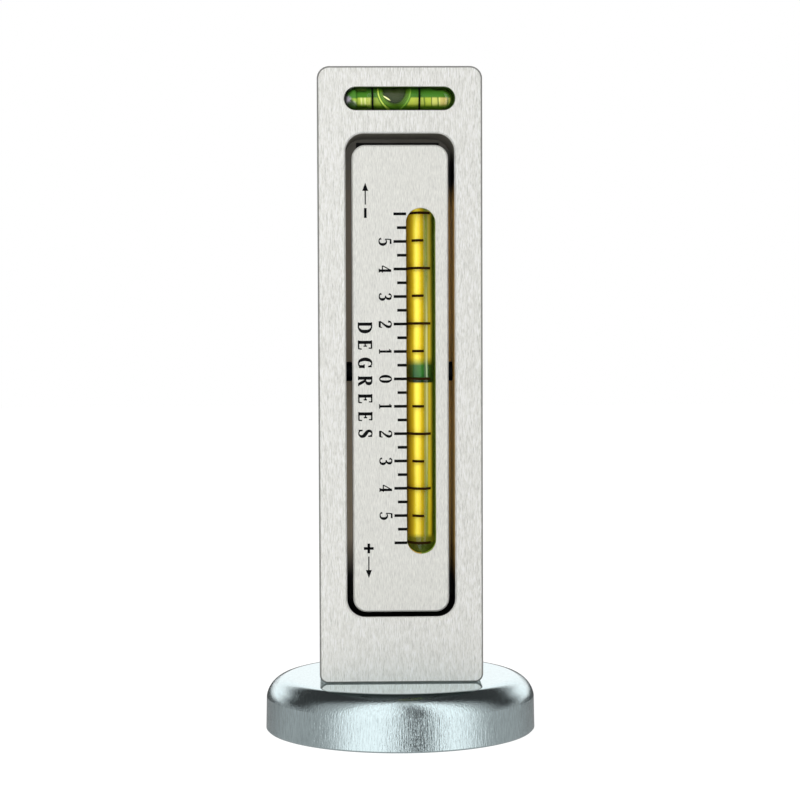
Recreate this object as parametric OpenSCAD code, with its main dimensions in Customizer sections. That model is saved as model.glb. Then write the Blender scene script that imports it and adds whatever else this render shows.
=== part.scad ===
// Magnetic camber and caster gauge: an aluminium bar with a vial block that rocks in its window,
// a level vial across the top rail, and a round pot magnet as the foot.
// The origin is the centre of the magnet's face. X is to the right, -Y is the scale side, Z is up.

/* [Bar] */
// Width of the bar
bar_w = 40; // [38:0.5:46]
// Depth of the bar, front to back
bar_d = 25; // [25:0.5:28]
// Height of the bar above the foot
bar_h = 150; // [148:1:156]
// Corner radius at the bar's top
bar_top_r = 3; // [1:0.5:5]
// Corner radius at the bar's bottom
bar_bottom_r = 2; // [1:0.5:4]
// Chamfer on the bar's long edges
bar_ease = 0.4; // [0.2:0.1:1]

/* [Window] */
// Width of the window in the bar
window_w = 26.4; // [26:0.1:28]
// Height of the window
window_h = 117.6; // [116:0.1:119]
// Solid rail below the window
bottom_rail_h = 16.2; // [15:0.1:18]
// Corner radius of the window
window_r = 4.4; // [3:0.1:6]
// Thickness of the two walls behind the window's ends
rear_wall = 4; // [3:0.1:4.5]
// Width of the rear opening between those walls
rear_open_w = 23; // [22.5:0.1:24]
// Height of the rear opening
rear_open_h = 84; // [83:0.5:88]
// Corner radius of the rear opening
rear_open_r = 4; // [3:0.1:6]

/* [Vial block] */
// Width of the rocking block
block_w = 23.4; // [23:0.1:24]
// Height of the rocking block
block_h = 113.6; // [112:0.1:114]
// Corner radius of the block
block_r = 3.3; // [2:0.1:5]
// Depth of the block at its ends, behind which it has room to rock
block_d = 17.7; // [16:0.1:18]
// How far the block's face lies behind the bar's face
face_inset = 0.3; // [0:0.1:1]
// Width of the raised back of the block, in the rear opening
nose_w = 21.4; // [21:0.1:22]
// Height of that raised back
nose_h = 81; // [80:0.5:82]

/* [Long vials] */
// Sideways place of the long slot in the block
slot_x = 5; // [4:0.1:6]
// Width of the long slot
slot_w = 7.1; // [7:0.1:7.4]
// Height of the slot that shows the camber vial
slot_h = 84.2; // [82:0.1:85]
// Height of the slot's hidden ends, behind the block's face
cavity_h = 93; // [90:0.5:94]
// Outer diameter of the long vials
vial_d = 6.95; // [6:0.05:6.95]
// Wall of the long vials
vial_wall = 0.9; // [0.6:0.1:1.2]
// Bend radius of the long vials, which gives 6.68 mm of bubble travel per degree
vial_bend_r = 383; // [350:1:420]
// Length of the camber vial
camber_vial_len = 92; // [90:0.5:92]
// Length of the caster vial
caster_vial_len = 78; // [76:0.5:78]

/* [Level vial] */
// Length of the slot across the top rail
level_slot_w = 26.8; // [25:0.1:28]
// Height of the slot across the top rail
level_slot_h = 5.6; // [5.5:0.1:6]
// Height of that slot's middle below the top of the bar
level_drop = 7.8; // [7:0.1:8.5]
// Outer diameter of the level vial
level_vial_d = 5.4; // [5:0.05:5.4]
// Wall of the level vial
level_wall = 0.7; // [0.5:0.05:0.9]
// Bend radius of the level vial
level_bend_r = 500; // [500:10:900]

/* [Pivot and zero adjustment] */
// Diameter of the cross pin
pin_d = 4.8; // [4:0.1:5]
// Height of the cross pin above the magnet's face
pivot_z = 89; // [88.5:0.1:89.5]
// Furthest tilt of the block each way, in degrees
tilt_limit = 2.5; // [1:0.1:2.5]
// Distance of the zero screw below the pivot
zero_arm = 53; // [52.8:0.1:53.2]
// Diameter of the zero screw
zero_screw_d = 3.9; // [3.5:0.1:3.9]
// Outer diameter of the knurled knob
knob_d = 14; // [12:0.5:14]
// Length of the knurled part of the knob
knob_h = 8; // [6:0.5:9]
// Number of knurl grooves round the knob
knurl_count = 36; // [20:1:40]
// Distance of the return spring above the pivot
spring_arm = 50.5; // [50:0.1:51]

/* [Magnet foot] */
// Diameter of the steel cup
cup_d = 67; // [64:0.5:70]
// Height of the steel cup
cup_h = 13.2; // [13:0.1:15]
// Radius of the drawn shoulder
shoulder_r = 5.9; // [5:0.1:6.2]
// Height of the line where the cup's side ends and its shoulder starts
side_line_z = 8.3; // [8:0.1:8.5]
// Wall of the cup's side
cup_wall = 2; // [1.5:0.1:2.5]
// Thickness of the cup's top
cup_top = 2.8; // [2.5:0.1:3]
// Outer diameter of the ring magnet
magnet_d = 60; // [56:0.5:60]
// Hole of the ring magnet
magnet_hole_d = 26; // [24:0.5:28]
// Diameter of the centre pole
pole_d = 22; // [20:0.5:23]

/* [Hidden] */
e = 0.01;                 // overlap of a cut past the face that it opens
round_fn = 96;            // fineness of turned and bored shapes
arc_fn = 1440;            // fineness of the long vials' bend

// Bar and window
bar_z = cup_h + bar_h / 2;
front_y = -bar_d / 2;
back_y = bar_d / 2;
window_z = cup_h + bottom_rail_h + window_h / 2;
rear_wall_y = back_y - rear_wall;

// Vial block. Its gap to the window is wider above than below, as on the real gauge.
block_bottom_gap = 1.2;
block_z = window_z - window_h / 2 + block_bottom_gap + block_h / 2;
block_front_y = front_y + face_inset;
block_back_y = block_front_y + block_d;
nose_back_y = back_y - face_inset;
nose_r = 3;
block_ease = 0.35;
slot_ease = 0.1;
end_travel = (pivot_z - block_z + block_h / 2) * sin(tilt_limit);
echo(gap_behind_block_at_furthest_tilt = rear_wall_y - block_back_y - end_travel);

// Long vials: the slot and the camber scale share their middle, the caster vial is level with the pivot
slot_z = 86.9;
front_lip = 2.6;          // wall that hides the ends of the camber vial
lip_y = block_front_y + front_lip;
vial_inset = 0.35;        // how far a vial lies behind the face that it shows in
camber_y = block_front_y + vial_inset + vial_d / 2;
caster_y = -camber_y;
end_step = 0.05;          // step where a vial's round end meets its bent part
plug_stub = 3;            // part of a plug that sits inside its tube
camber_air = 2;           // height of the bubble, with the gauge upright
caster_air = 7;
pad_bottom_z = slot_z - cavity_h / 2 + 0.1;
pad_top_z = slot_z + cavity_h / 2 - 0.1;
pad_bottom_h = 12;
pad_top_h = 9.5;
pad_fit = 0.05;           // glue line between a pad and what it touches
pad_front_y = -4.6;
pad_back_y = block_back_y - 0.3;

// Level vial
level_z = cup_h + bar_h - level_drop;
level_len = level_slot_w - 0.3;
level_inset = 0.15;
level_lift = 0.05;        // leaves room below the ends of the bent vial
level_y = front_y + level_inset + level_vial_d / 2;
level_floor_y = level_y + level_vial_d / 2;
bubble_x = -1.7;
bubble_len = 7;
bubble_d = 3.7;
level_plug_stub = 0.3;
bubble_film = 0.03;       // liquid left between the bubble and the bore above it

// Pivot
pin_len = bar_w - 0.6;
pin_clearance = 0.05;

// Zero adjustment: a domed pad is pushed against the floor of a pocket in the block's back
zero_z = pivot_z - zero_arm;
pad_seat_y = 2.5;         // floor of the pocket
pad_pocket_d = 7.4;
pad_d = 6;
pad_len = 3;
pad_dome_r = 8;
pad_gap = 0.02;
screw_tip_d = 2.9;
screw_tip_len = 1.7;
bush_d = 7.5;
bush_flange_d = 9.5;
bush_flange_h = 0.8;
bush_hole_d = zero_screw_d + 0.1;
knob_gap = 5;             // free length of the drag spring
knob_collar_h = 2;
knob_collar_d = 8;
knob_y = back_y + bush_flange_h + knob_gap;
knurl_depth = 0.4;
knurl_w = 0.85;
knob_rim_w = 2.5;         // raised rim round the knob's end face
knob_dish = 0.5;          // depth of the face inside that rim
knob_skin = 2;            // metal left over the screw's end

// Springs, wound from round wire
spring_z = pivot_z + spring_arm;
spring_pocket_d = 6.8;
spring_pocket_depth = 6;
spring_seat_depth = 0.6;
return_wire = 0.6;
return_coil_d = 5.2;      // middle diameter of the coil
return_turns = 6;
return_len = spring_pocket_depth + rear_wall_y - block_back_y + spring_seat_depth;
drag_wire = 0.6;
drag_coil_d = 5.8;
drag_turns = 3.5;
drag_len = knob_gap;
coil_rings = 8;           // rings of the wire in each turn
coil_sides = 6;

// Magnet foot
cup_inner_r = cup_d / 2 - cup_wall;
cup_inner_h = cup_h - cup_top;
cup_inner_fillet = 3;
side_draft = 0.15;        // how much narrower the cup's side is at that line than at its rim
rim_ease = 0.4;           // chamfer on the rim that the foot stands on
magnet_recess = 0.4;
head_d = 10;
head_h = 6;
head_pocket_d = 11.5;
head_pocket_h = 8;
socket_af = 5;            // hexagon socket, across flats
socket_depth = 3;
washer_h = 1.5;
washer_w = 1.7;           // width of the washer's ring
washer_split = 0.6;
foot_screw_d = 6;
foot_screw_hole_d = 6.6;
foot_screw_end_z = cup_h + 13;
dowel_d = 3;
dowel_x = 15;
dowel_depth = 6;

// Extrudes an outline drawn in X and Z from y0 to y1
module upright(y0, y1) {
    translate([0, y1, 0]) rotate([90, 0, 0]) linear_extrude(y1 - y0) children();
}

// A rod along Y from y0 to y1
module rod_y(d, y0, y1) {
    translate([0, y1, 0]) rotate([90, 0, 0]) cylinder(d = d, h = y1 - y0, $fn = round_fn);
}

// A turned piece whose outline is drawn as radius and height, standing on Z
module turned() {
    rotate_extrude($fn = round_fn) children();
}

// The same, lying along Y: height in the outline is the distance along +Y
module turned_y() {
    rotate([-90, 0, 0]) turned() children();
}

// Rectangle with round corners, as true arcs
module rounded_rect(w, h, r) {
    square([w - 2 * r, h], center = true);
    square([w, h - 2 * r], center = true);
    for (x = [-1, 1], z = [-1, 1]) {
        translate([x * (w / 2 - r), z * (h / 2 - r)]) circle(r, $fn = round_fn);
    }
}

// Section of a slab from y = -d/2 to d/2 with both edges of its outer face chamfered by c
module eased_section(w, d, c) {
    polygon([
        [-w / 2, -d / 2 + c], [-w / 2 + c, -d / 2], [w / 2 - c, -d / 2], [w / 2, -d / 2 + c],
        [w / 2, d / 2 - c], [w / 2 - c, d / 2], [-w / 2 + c, d / 2], [-w / 2, d / 2 - c]
    ]);
}

// Bar of width w, height h and depth d, with round corners and a chamfer c round both faces
module eased_bar(w, h, d, r_top, r_bottom, c) {
    side_h = h - r_top - r_bottom;
    if (side_h > 0) {
        translate([0, 0, -h / 2 + r_bottom]) linear_extrude(side_h) eased_section(w, d, c);
    }
    for (end = [[1, r_top], [-1, r_bottom]]) {
        r = end[1];
        if (w / 2 - r > e) {
            intersection() {
                rotate([90, 0, 90]) linear_extrude(w - 2 * r, center = true) {
                    rotate(90) eased_section(h, d, c);
                }
                translate([0, 0, end[0] * h / 4]) cube([w, d, h / 2], center = true);
            }
        }
        for (x = [-1, 1]) {
            translate([x * (w / 2 - r), 0, end[0] * (h / 2 - r)]) eased_disc(r, d, c);
        }
    }
}

// Disc with its axis on Y, chamfered round both faces
module eased_disc(r, d, c) {
    turned_y() polygon([
        [0, -d / 2], [r - c, -d / 2], [r, -d / 2 + c], [r, d / 2 - c], [r - c, d / 2], [0, d / 2]
    ]);
}

// Chamfered mouth of a pocket of size w by h, opening at its middle plane
module eased_mouth(w, h, r, c) {
    eased_bar(w + 2 * c, h + 2 * c, 2 * c + e, r + c, r + c, c);
}

// ---- Long and short vials, drawn upright with the bend bulging to -Y and the closed end on top

// A rod of diameter d bent to a radius. It runs from 'from' to 'to', measured along the chord of
// the whole vial, whose middle lies at the origin.
module bent_rod(d, bend_r, from, to) {
    a0 = asin(from / bend_r);
    a1 = asin(to / bend_r);
    translate([0, bend_r, 0]) rotate([0, 90, 0]) rotate([0, 0, -90 - a1]) {
        rotate_extrude(angle = a1 - a0, $fn = arc_fn) translate([bend_r, 0]) circle(d = d, $fn = 48);
    }
}

// Puts its children on the bent line at the height s, turned along it
module on_bend(bend_r, s) {
    a = asin(s / bend_r);
    translate([0, bend_r * (1 - cos(a)), bend_r * sin(a)]) rotate([-a, 0, 0]) children();
}

// A bent rod whose upper end is round. The ball there is smaller than the rod by a small step.
module closed_rod(d, bend_r, from, top) {
    bent_rod(d, bend_r, from, top);
    on_bend(bend_r, top) sphere(d = d - 2 * end_step, $fn = round_fn);
}

// Tube of a vial, open at its lower end, where the plug's round head follows
module vial_tube(d, wall, bend_r, len) {
    top = len / 2 - d / 2;
    difference() {
        closed_rod(d, bend_r, -top, top);
        closed_rod(d - 2 * wall, bend_r, -top - 1, top);
    }
}

// Fills the tube from its plug up to 'air' below the closed end, with a hollow surface
module vial_liquid(d, wall, bend_r, len, air, stub) {
    bore = d - 2 * wall;
    level = len / 2 - wall - air;
    difference() {
        bent_rod(bore, bend_r, -len / 2 + d / 2 + stub, level);
        on_bend(bend_r, level + bore) sphere(r = bore * 1.1, $fn = round_fn);
    }
}

// Stopper: a round head as wide as the tube and a stub inside it
module vial_plug(d, wall, bend_r, len, stub) {
    end = -len / 2 + d / 2;
    on_bend(bend_r, end) turned() intersection() {
        circle(d = d - 2 * end_step, $fn = round_fn);
        translate([0, -d]) square(d);
    }
    bent_rod(d - 2 * wall, bend_r, end - 1, end + stub);
}

module at_camber_vial() {
    translate([slot_x, camber_y, slot_z]) children();
}

module at_caster_vial() {
    translate([slot_x, caster_y, pivot_z]) rotate([0, 0, 180]) children();
}

module at_level_vial() {
    translate([0, level_y, level_z + level_lift]) rotate([-90, 0, -90]) children();
}

// ---- Bar

module frame() {
    color("silver") difference() {
        translate([0, 0, bar_z]) eased_bar(bar_w, bar_h, bar_d, bar_top_r, bar_bottom_r, bar_ease);
        window_cut();
        level_slot_cut();
        // bores of the cross pin
        translate([0, 0, pivot_z]) rotate([0, 90, 0]) {
            cylinder(d = pin_d, h = bar_w + 2, center = true, $fn = round_fn);
        }
        // seat of the threaded bush, and of the return spring
        translate([0, 0, zero_z]) rod_y(bush_d, rear_wall_y - 1, back_y + 1);
        translate([0, 0, spring_z]) rod_y(spring_pocket_d, rear_wall_y - 1, rear_wall_y + spring_seat_depth);
        // holes in the bottom for the foot
        translate([0, 0, cup_h - 1]) {
            cylinder(d = foot_screw_d, h = foot_screw_end_z - cup_h + 2, $fn = round_fn);
        }
        translate([dowel_x, 0, cup_h - 1]) cylinder(d = dowel_d, h = dowel_depth + 1, $fn = round_fn);
    }
}

// Window: a deep pocket from the front and a smaller opening through its rear wall
module window_cut() {
    translate([0, 0, window_z]) {
        upright(front_y - 1, rear_wall_y) rounded_rect(window_w, window_h, window_r);
        translate([0, front_y, 0]) eased_mouth(window_w, window_h, window_r, block_ease);
    }
    translate([0, 0, pivot_z]) {
        upright(rear_wall_y - 1, back_y + 1) rounded_rect(rear_open_w, rear_open_h, rear_open_r);
        translate([0, back_y, 0]) eased_mouth(rear_open_w, rear_open_h, rear_open_r, block_ease);
    }
}

// Blind slot with round ends for the level vial
module level_slot_cut() {
    r = level_slot_h / 2 - e;
    translate([0, 0, level_z]) {
        upright(front_y - 1, level_floor_y) rounded_rect(level_slot_w, level_slot_h, r);
        translate([0, front_y, 0]) eased_mouth(level_slot_w, level_slot_h, r, slot_ease);
    }
}

// ---- Rocking block

module vial_block() {
    color("gainsboro") difference() {
        union() {
            translate([0, block_front_y + block_d / 2, block_z]) {
                eased_bar(block_w, block_h, block_d, block_r, block_r, block_ease);
            }
            // raised back, flush with the bar's back, which carries the caster scale
            translate([0, 0, pivot_z]) upright(block_back_y - 1, nose_back_y) {
                rounded_rect(nose_w, nose_h, nose_r);
            }
        }
        vial_slot_cut();
        // bore of the cross pin
        translate([0, 0, pivot_z]) rotate([0, 90, 0]) {
            cylinder(d = pin_d + 2 * pin_clearance, h = block_w + 2, center = true, $fn = round_fn);
        }
        // pockets for the pressure pad and the return spring
        translate([0, 0, zero_z]) rod_y(pad_pocket_d, pad_seat_y - pad_gap, block_back_y + 1);
        translate([0, 0, spring_z]) {
            rod_y(spring_pocket_d, block_back_y - spring_pocket_depth, block_back_y + 1);
        }
    }
}

// Slot through the block: the front part shows the camber vial, the rest is longer
module vial_slot_cut() {
    r = slot_w / 2 - e;
    translate([slot_x, 0, slot_z]) {
        upright(block_front_y - 1, 0) rounded_rect(slot_w, slot_h, r);
        upright(lip_y, back_y + 1) rounded_rect(slot_w, cavity_h, r);
        translate([0, block_front_y, 0]) eased_mouth(slot_w, slot_h, r, slot_ease);
    }
}

module pivot_pin() {
    c = 0.4;
    color("dimgray") translate([-pin_len / 2, 0, pivot_z]) rotate([0, 90, 0]) turned() polygon([
        [0, 0], [pin_d / 2 - c, 0], [pin_d / 2, c],
        [pin_d / 2, pin_len - c], [pin_d / 2 - c, pin_len], [0, pin_len]
    ]);
}

// ---- Vials

module camber_vial_tube() {
    color("lightyellow", 0.4) at_camber_vial() vial_tube(vial_d, vial_wall, vial_bend_r, camber_vial_len);
}

module camber_vial_liquid() {
    color("gold") at_camber_vial() {
        vial_liquid(vial_d, vial_wall, vial_bend_r, camber_vial_len, camber_air, plug_stub);
    }
}

module camber_vial_plug() {
    color("darkslategray") at_camber_vial() {
        vial_plug(vial_d, vial_wall, vial_bend_r, camber_vial_len, plug_stub);
    }
}

module caster_vial_tube() {
    color("lightyellow", 0.4) at_caster_vial() vial_tube(vial_d, vial_wall, vial_bend_r, caster_vial_len);
}

module caster_vial_liquid() {
    color("gold") at_caster_vial() {
        vial_liquid(vial_d, vial_wall, vial_bend_r, caster_vial_len, caster_air, plug_stub);
    }
}

module caster_vial_plug() {
    color("darkslategray") at_caster_vial() {
        vial_plug(vial_d, vial_wall, vial_bend_r, caster_vial_len, plug_stub);
    }
}

module level_vial_tube() {
    color("honeydew", 0.4) at_level_vial() vial_tube(level_vial_d, level_wall, level_bend_r, level_len);
}

// The level vial lies flat, so its bubble floats against the upper side, off the middle
module level_vial_liquid() {
    bore = level_vial_d - 2 * level_wall;
    end = level_len / 2 - level_vial_d / 2;
    color("olivedrab") difference() {
        at_level_vial() {
            closed_rod(bore, level_bend_r, -end + level_plug_stub, end);
        }
        translate([bubble_x, level_y, level_z + level_lift + (bore - bubble_d) / 2 - bubble_film]) {
            rotate([0, 90, 0]) cylinder(d = bubble_d, h = bubble_len - bubble_d, center = true, $fn = 48);
            for (x = [-1, 1]) {
                translate([x * (bubble_len - bubble_d) / 2, 0, 0]) sphere(d = bubble_d, $fn = 48);
            }
        }
    }
}

module level_vial_plug() {
    color("dimgray") at_level_vial() {
        vial_plug(level_vial_d, level_wall, level_bend_r, level_len, level_plug_stub);
    }
}

// Rubber pads between the two long vials, hollowed to their curves
module vial_pad(z0, z1) {
    color("darkolivegreen") difference() {
        intersection() {
            translate([slot_x, 0, slot_z]) upright(lip_y, block_back_y) {
                rounded_rect(slot_w - 2 * pad_fit, cavity_h - 2 * pad_fit, slot_w / 2 - pad_fit - e);
            }
            translate([0, pad_front_y, z0]) cube([bar_w / 2, pad_back_y - pad_front_y, z1 - z0]);
        }
        at_camber_vial() bent_rod(vial_d + 2 * pad_fit, vial_bend_r, -cavity_h / 2 - 1, cavity_h / 2 + 1);
        at_caster_vial() bent_rod(vial_d + 2 * pad_fit, vial_bend_r, -cavity_h / 2 - 1, cavity_h / 2 + 1);
    }
}

module vial_pad_top() {
    vial_pad(pad_top_z - pad_top_h, pad_top_z);
}

module vial_pad_bottom() {
    vial_pad(pad_bottom_z, pad_bottom_z + pad_bottom_h);
}

// ---- Zero adjustment, on one axis along Y

module at_zero_axis() {
    translate([0, 0, zero_z]) children();
}

module zero_bush() {
    color("goldenrod") at_zero_axis() turned_y() difference() {
        union() {
            translate([0, rear_wall_y]) square([bush_d / 2, rear_wall]);
            translate([0, back_y]) square([bush_flange_d / 2, bush_flange_h]);
        }
        translate([-1, rear_wall_y - 1]) square([bush_hole_d / 2 + 1, rear_wall + bush_flange_h + 2]);
    }
}

module zero_screw() {
    tip_y = pad_seat_y + pad_len - screw_tip_len + 0.1;
    shoulder_y = pad_seat_y + pad_len;
    end_y = knob_y + knob_collar_h + knob_h - knob_skin;
    color("slategray") at_zero_axis() turned_y() polygon([
        [0, tip_y], [screw_tip_d / 2 - 0.3, tip_y], [screw_tip_d / 2, tip_y + 0.3],
        [screw_tip_d / 2, shoulder_y], [zero_screw_d / 2, shoulder_y],
        [zero_screw_d / 2, end_y], [0, end_y]
    ]);
}

// Knurled thumb knob with a collar towards the drag spring
module zero_knob() {
    c = 0.8;
    y1 = knob_y + knob_collar_h;
    y2 = y1 + knob_h;
    r = knob_d / 2;
    color("silver") at_zero_axis() difference() {
        turned_y() polygon([
            [0, knob_y], [knob_collar_d / 2, knob_y], [knob_collar_d / 2, y1],
            [r - c, y1], [r, y1 + c], [r, y2 - c], [r - c, y2],
            [r - knob_rim_w, y2], [r - knob_rim_w - knob_dish, y2 - knob_dish], [0, y2 - knob_dish]
        ]);
        rod_y(zero_screw_d, knob_y - 1, y2 - knob_skin);
        for (i = [0 : knurl_count - 1]) {
            rotate([0, i * 360 / knurl_count, 0]) translate([r, 0, 0]) upright(y1 - 1, y2 + 1) {
                polygon([[-knurl_depth, 0], [e, -knurl_w / 2], [1, -knurl_w], [1, knurl_w], [e, knurl_w / 2]]);
            }
        }
    }
}

// Domed pad on the tip of the zero screw: it moves with the screw but doesn't turn
module pressure_pad() {
    y1 = pad_seat_y + pad_len;
    color("goldenrod") at_zero_axis() difference() {
        intersection() {
            rod_y(pad_d, pad_seat_y - 1, y1);
            translate([0, pad_seat_y + pad_dome_r, 0]) sphere(r = pad_dome_r, $fn = round_fn);
        }
        rod_y(screw_tip_d + 0.1, y1 - screw_tip_len, y1 + 1);
    }
}

// ---- Springs

function coil_ring(r, wire_r, turns, len, i, n) =
    let (a = 360 * turns * i / n, z = wire_r + (len - 2 * wire_r) * i / n)
    [for (s = [0 : coil_sides - 1])
        let (b = 360 * s / coil_sides, q = r + wire_r * cos(b))
        [q * cos(a), q * sin(a), z + wire_r * sin(b)]];

function coil_faces(n) = concat(
    [[for (s = [0 : coil_sides - 1]) s]],
    [for (i = [0 : n - 1], s = [0 : coil_sides - 1], half = [0, 1])
        let (t = (s + 1) % coil_sides, a = i * coil_sides, b = a + coil_sides)
        half == 0 ? [a + s, b + s, b + t] : [a + s, b + t, a + t]],
    [[for (s = [coil_sides - 1 : -1 : 0]) n * coil_sides + s]]);

// Open coil of round wire, standing on Z from 0 to len
module coil_spring(coil_d, wire_d, turns, len) {
    n = ceil(turns * coil_rings);
    points = [for (i = [0 : n]) each coil_ring(coil_d / 2, wire_d / 2, turns, len, i, n)];
    polyhedron(points, coil_faces(n));
}

// Least gap between neighbouring turns of a spring
function coil_gap(wire_d, turns, len) = (len - wire_d) / turns - wire_d;
echo(return_spring_gap = coil_gap(return_wire, return_turns, return_len));
echo(drag_spring_gap = coil_gap(drag_wire, drag_turns, drag_len));

module return_spring() {
    color("lightsteelblue") translate([0, block_back_y - spring_pocket_depth, spring_z]) {
        rotate([-90, 0, 0]) coil_spring(return_coil_d, return_wire, return_turns, return_len);
    }
}

module drag_spring() {
    color("lightsteelblue") translate([0, back_y + bush_flange_h, zero_z]) {
        rotate([-90, 0, 0]) coil_spring(drag_coil_d, drag_wire, drag_turns, drag_len);
    }
}

// ---- Magnet foot

// Outside of the drawn cup: a slightly tapered side, and a shoulder whose arc meets it in a faint
// line and runs smoothly into the flat top
module cup_outside() {
    r = cup_d / 2;
    line_r = r - side_draft;
    arc_x = line_r - sqrt(pow(shoulder_r, 2) - pow(side_line_z - cup_h + shoulder_r, 2));
    polygon([[0, 0], [r - rim_ease, 0], [r, rim_ease], [line_r, side_line_z], [arc_x, side_line_z + 1]]);
    square([arc_x, cup_h]);
    intersection() {
        translate([arc_x, cup_h - shoulder_r]) circle(shoulder_r, $fn = round_fn);
        translate([0, side_line_z]) square([cup_d, cup_h]);
    }
}

// Room inside the cup, below its top
module cup_inside() {
    r = cup_inner_r;
    f = cup_inner_fillet;
    translate([0, -1]) square([r - f, cup_inner_h + 1]);
    translate([0, -1]) square([r, cup_inner_h - f + 1]);
    translate([r - f, cup_inner_h - f]) circle(f, $fn = round_fn);
}

module magnet_cup() {
    color("lightslategray") difference() {
        rotate_extrude($fn = 180) difference() {
            cup_outside();
            cup_inside();
        }
        translate([0, 0, cup_inner_h - 1]) cylinder(d = foot_screw_hole_d, h = cup_top + 2, $fn = round_fn);
        translate([dowel_x, 0, cup_inner_h - 1]) cylinder(d = dowel_d, h = cup_top + 2, $fn = round_fn);
    }
}

module ring_magnet() {
    c = 0.8;
    c_top = 2;            // clears the fillet inside the cup
    r = magnet_d / 2;
    color("dimgray") turned() polygon([
        [magnet_hole_d / 2, magnet_recess], [r - c, magnet_recess], [r, magnet_recess + c],
        [r, cup_inner_h - c_top], [r - c_top, cup_inner_h], [magnet_hole_d / 2, cup_inner_h]
    ]);
}

module centre_pole() {
    color("slategray") turned() polygon([
        [head_pocket_d / 2, 0], [pole_d / 2 - 0.5, 0], [pole_d / 2, 0.5], [pole_d / 2, cup_inner_h],
        [foot_screw_hole_d / 2, cup_inner_h], [foot_screw_hole_d / 2, head_pocket_h],
        [head_pocket_d / 2, head_pocket_h]
    ]);
}

module foot_screw() {
    head_top = head_pocket_h - washer_h;
    color("dimgray") difference() {
        turned() polygon([
            [0, head_top - head_h], [head_d / 2 - 0.5, head_top - head_h],
            [head_d / 2, head_top - head_h + 0.5], [head_d / 2, head_top],
            [foot_screw_d / 2, head_top], [foot_screw_d / 2, foot_screw_end_z - 0.7],
            [foot_screw_d / 2 - 0.7, foot_screw_end_z], [0, foot_screw_end_z]
        ]);
        translate([0, 0, head_top - head_h - 1]) {
            cylinder(d = socket_af / cos(30), h = socket_depth + 1, $fn = 6);
        }
    }
}

// Split spring washer under the screw's head
module lock_washer() {
    color("lightsteelblue") difference() {
        translate([0, 0, head_pocket_h - washer_h]) turned() {
            translate([foot_screw_d / 2 + 0.15, 0]) square([washer_w, washer_h]);
        }
        translate([foot_screw_d / 2 + 1, 0, head_pocket_h - washer_h / 2]) {
            rotate([20, 0, 0]) cube([2 * washer_w, washer_split, 4 * washer_h], center = true);
        }
    }
}

module dowel_pin() {
    c = 0.3;
    z1 = cup_h + dowel_depth - 0.4;
    color("slategray") translate([dowel_x, 0, 0]) turned() polygon([
        [0, cup_inner_h], [dowel_d / 2 - c, cup_inner_h], [dowel_d / 2, cup_inner_h + c],
        [dowel_d / 2, z1 - c], [dowel_d / 2 - c, z1], [0, z1]
    ]);
}

frame();
vial_block();
pivot_pin();
camber_vial_tube();
camber_vial_liquid();
camber_vial_plug();
caster_vial_tube();
caster_vial_liquid();
caster_vial_plug();
level_vial_tube();
level_vial_liquid();
level_vial_plug();
vial_pad_top();
vial_pad_bottom();
zero_bush();
zero_screw();
zero_knob();
pressure_pad();
drag_spring();
return_spring();
magnet_cup();
ring_magnet();
centre_pole();
foot_screw();
lock_washer();
dowel_pin();
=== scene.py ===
"""Looks of a magnetic camber and caster gauge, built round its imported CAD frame.

Metres throughout. X is to the right, -Y is the side of the camber scale, Z is up.
"""

import math
from functools import partial

import bmesh
import bpy
import numpy as np
from bpy.props import FloatProperty, FloatVectorProperty, PointerProperty
from mathutils import Matrix, Vector


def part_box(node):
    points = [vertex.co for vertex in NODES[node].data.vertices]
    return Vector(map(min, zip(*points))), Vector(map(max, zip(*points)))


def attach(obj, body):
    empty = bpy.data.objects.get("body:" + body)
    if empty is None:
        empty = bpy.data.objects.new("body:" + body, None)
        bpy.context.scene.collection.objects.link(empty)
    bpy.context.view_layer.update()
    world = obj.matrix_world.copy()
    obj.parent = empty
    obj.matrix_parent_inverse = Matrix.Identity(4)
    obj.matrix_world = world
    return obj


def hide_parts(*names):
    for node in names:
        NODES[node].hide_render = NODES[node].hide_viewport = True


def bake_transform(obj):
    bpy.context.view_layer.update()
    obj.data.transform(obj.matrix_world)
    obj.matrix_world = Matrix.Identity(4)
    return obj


bl_info = {
    "name": "Camber caster gauge",
    "version": (1, 0, 0),
    "blender": (4, 5, 0),
    "location": "3D View > Sidebar > Gauge",
    "description": "Dresses the packed frame of a magnetic camber and caster gauge",
    "category": "Object",
}

MM = 0.001
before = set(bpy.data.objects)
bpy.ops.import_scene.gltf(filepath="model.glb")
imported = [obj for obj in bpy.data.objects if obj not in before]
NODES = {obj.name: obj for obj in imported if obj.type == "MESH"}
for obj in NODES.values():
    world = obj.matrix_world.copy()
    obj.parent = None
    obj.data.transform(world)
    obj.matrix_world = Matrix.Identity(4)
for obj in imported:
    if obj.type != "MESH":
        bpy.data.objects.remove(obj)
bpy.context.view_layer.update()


def linear(hex_colour):
    """An sRGB hex colour as linear RGBA."""
    parts = [int(hex_colour[i:i + 2], 16) / 255 for i in (1, 3, 5)]
    return tuple(c / 12.92 if c <= 0.04045 else ((c + 0.055) / 1.055) ** 2.4 for c in parts) + (1.0,)


def size_prop(name, description, default, low, high):
    """A length in millimetres, shown in the sidebar."""
    return FloatProperty(
        name=name, description=description + ", in mm", default=default, min=low, max=high, precision=3)


def colour_prop(name, description, hex_colour):
    """A colour, shown in the sidebar."""
    return FloatVectorProperty(
        name=name, description=description, default=linear(hex_colour)[:3], subtype="COLOR", min=0, max=1
    )


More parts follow.
